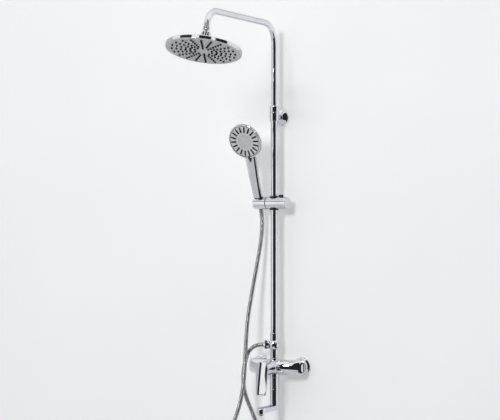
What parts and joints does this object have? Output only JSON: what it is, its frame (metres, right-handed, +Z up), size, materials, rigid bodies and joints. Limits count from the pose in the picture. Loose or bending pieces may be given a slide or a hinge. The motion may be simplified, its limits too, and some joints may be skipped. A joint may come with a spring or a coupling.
{
  "type": "shower system",
  "caption": "Exposed wall shower: lever mixer with swivel spout, riser with sliding handset holder, hose and handset, telescopic gooseneck with tilting rain head.",
  "frame": {"origin": "on the wall plane, midway between the two water inlets", "axes": "+X right as seen from the room, +Y into the wall, +Z up"},
  "size_m": [0.2487, 0.6023, 1.483],
  "materials": {
    "chrome": "polished",
    "brass": "machined",
    "steel": "satin",
    "hose_metal": "ribbed polished",
    "face_grey": "satin",
    "chromed_plastic": "chromed",
    "black_plastic": "satin",
    "black_rubber": "matte",
    "white_plastic": "matte"
  },
  "bodies": {
    "column": {"left_wall_flange": "chrome", "right_wall_flange": "chrome", "left_s_union": "brass", "right_s_union": "brass", "left_union_nut": "chrome", "right_union_nut": "chrome", "left_union_washer": "black_rubber", "right_union_washer": "black_rubber", "mixer_body": "chrome", "cartridge_body": "white_plastic", "cartridge_cover": "chrome", "outlet_pillar": "chrome", "diverter_tee": "chrome", "riser_tube": "chrome", "hose_washer": "black_rubber", "hose_lower_nut": "chrome", "shower_hose": "hose_metal", "upper_bracket": "chrome", "bracket_flange": "chrome", "clamp_collet": "white_plastic"},
    "mixing_core": {"cartridge_rotor": "white_plastic", "lift_pin": "steel"},
    "lever": {"lever_spindle": "brass", "lever_handle": "chrome", "lever_grub_screw": "steel", "lever_plug": "black_plastic"},
    "swivel_spout": {"spout": "chrome", "spout_seal": "black_rubber", "aerator_housing": "chrome", "aerator_insert": "black_plastic"},
    "diverter": {"diverter_collar": "chrome", "diverter_spool": "brass"},
    "clamp": {"clamp_nut": "chrome"},
    "telescope": {"telescope_guide": "white_plastic", "telescope_seal": "black_rubber"},
    "shower_arm": {"gooseneck_arm": "chrome", "ball_stud": "chrome"},
    "joint_seal": {"ball_seal": "black_rubber"},
    "rain_head": {"socket_nut": "chromed_plastic", "head_cover": "chromed_plastic", "head_face": "face_grey", "head_nozzle_mat": "black_rubber"},
    "carriage": {"slider_bush": "black_plastic"},
    "slider": {"slider_body": "chromed_plastic", "slider_end_cap": "chromed_plastic", "friction_washer": "black_rubber", "holder_pin": "steel", "button_spring": "steel"},
    "button": {"release_button": "black_plastic"},
    "holder": {"handset_holder": "chromed_plastic"},
    "handset": {"handset_body": "chromed_plastic", "handset_face": "face_grey", "handset_nozzle_mat": "black_rubber", "hose_cone_nut": "chrome"},
    "selector": {"selector_ring": "chromed_plastic"}
  },
  "joints": [
    {"name": "temperature_turn", "type": "hinge", "parent": "column", "child": "mixing_core", "pos_m": [0, -0.067, 0], "axis": [0, 1, 0], "range_deg": [-45, 45]},
    {"name": "lever_lift", "type": "hinge", "parent": "mixing_core", "child": "lever", "pos_m": [0, -0.067, 0], "axis": [-1, 0, 0], "range_deg": [0, 20]},
    {"name": "spout_swing", "type": "hinge", "parent": "column", "child": "swivel_spout", "pos_m": [0, -0.048, 0], "axis": [0, 0, 1], "range_deg": [-45, 90]},
    {"name": "diverter_turn", "type": "hinge", "parent": "column", "child": "diverter", "pos_m": [0, -0.048, 0], "axis": [0, 0, 1], "range_deg": [-45, 45]},
    {"name": "clamp_turn", "type": "hinge", "parent": "column", "child": "clamp", "pos_m": [0, -0.048, 0], "axis": [0, 0, 1], "range_deg": [0, 120]},
    {"name": "telescope_slide", "type": "slide", "parent": "column", "child": "telescope", "axis": [0, 0, 1], "range_m": [-0.18, 0.12]},
    {"name": "arm_turn", "type": "hinge", "parent": "telescope", "child": "shower_arm", "pos_m": [0, -0.048, 0], "axis": [0, 0, 1], "range_deg": [-75, 75]},
    {"name": "head_nod", "type": "hinge", "parent": "shower_arm", "child": "joint_seal", "pos_m": [0, -0.45896, 1.00993], "axis": [1, 0, 0], "range_deg": [-12, 12]},
    {"name": "head_roll", "type": "hinge", "parent": "joint_seal", "child": "rain_head", "pos_m": [0, -0.45896, 1.00993], "axis": [0, 1, 0], "range_deg": [-12, 12]},
    {"name": "slider_slide", "type": "slide", "parent": "column", "child": "carriage", "axis": [0, 0, 1], "range_m": [-0.2, 0.22], "deforming": ["shower_hose"]},
    {"name": "slider_swivel", "type": "hinge", "parent": "carriage", "child": "slider", "pos_m": [0, -0.048, 0], "axis": [0, 0, 1], "range_deg": [-20, 20], "deforming": ["shower_hose"]},
    {"name": "button_press", "type": "slide", "parent": "slider", "child": "button", "axis": [0, 0, -1], "range_m": [0, 0.003], "stiffness_N_per_m": 400, "deforming": ["button_spring"]},
    {"name": "holder_tilt", "type": "hinge", "parent": "slider", "child": "holder", "pos_m": [0, -0.048, 0.519], "axis": [1, 0, 0], "range_deg": [-12, 25], "deforming": ["shower_hose"]},
    {"name": "handset_lift", "type": "slide", "parent": "holder", "child": "handset", "axis": [0, -0.4067, 0.9135], "range_m": [0, 0.06], "deforming": ["shower_hose"]},
    {"name": "spray_select", "type": "hinge", "parent": "handset", "child": "selector", "pos_m": [-0.053, -0.13504, 0.7145], "axis": [0, -0.9135, -0.4067], "range_deg": [-20, 20]}
  ]
}
